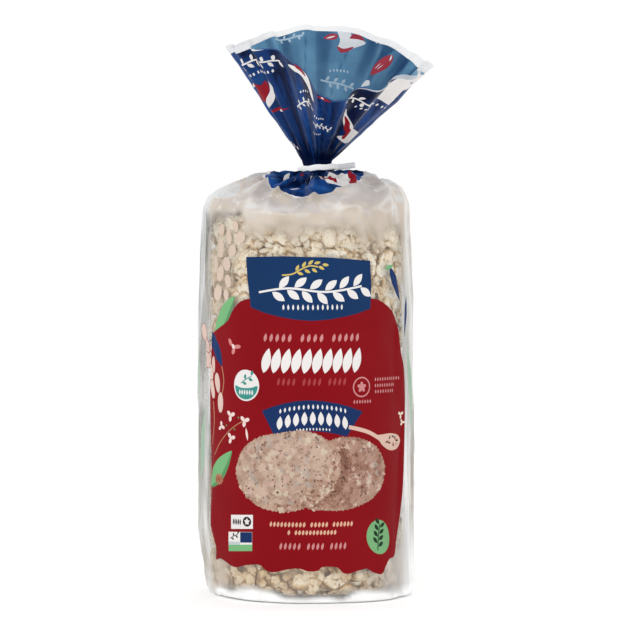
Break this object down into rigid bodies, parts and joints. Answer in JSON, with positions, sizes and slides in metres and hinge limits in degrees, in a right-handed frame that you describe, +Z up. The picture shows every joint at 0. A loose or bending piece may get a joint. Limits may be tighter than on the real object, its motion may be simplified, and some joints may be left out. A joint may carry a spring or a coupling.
{
  "type": "bag of puffed rice cakes",
  "caption": "Clear film bag of stacked puffed rice cakes, gathered and tied at the top, standing on its flat base with a flared printed film tail.",
  "frame": {"origin": "centre of the flat base the bag stands on", "axes": "+Z up through the stack of cakes, +X to the right of the printed front, -Y towards the viewer of the printed front"},
  "size_m": [0.1184, 0.1097, 0.2864],
  "materials": {
    "film": "thin clear film over the cakes, printed red and blue in places",
    "tie": "white, satin"
  },
  "bodies": {
    "root": {"bag": "film", "tie": "tie"}
  },
  "joints": []
}
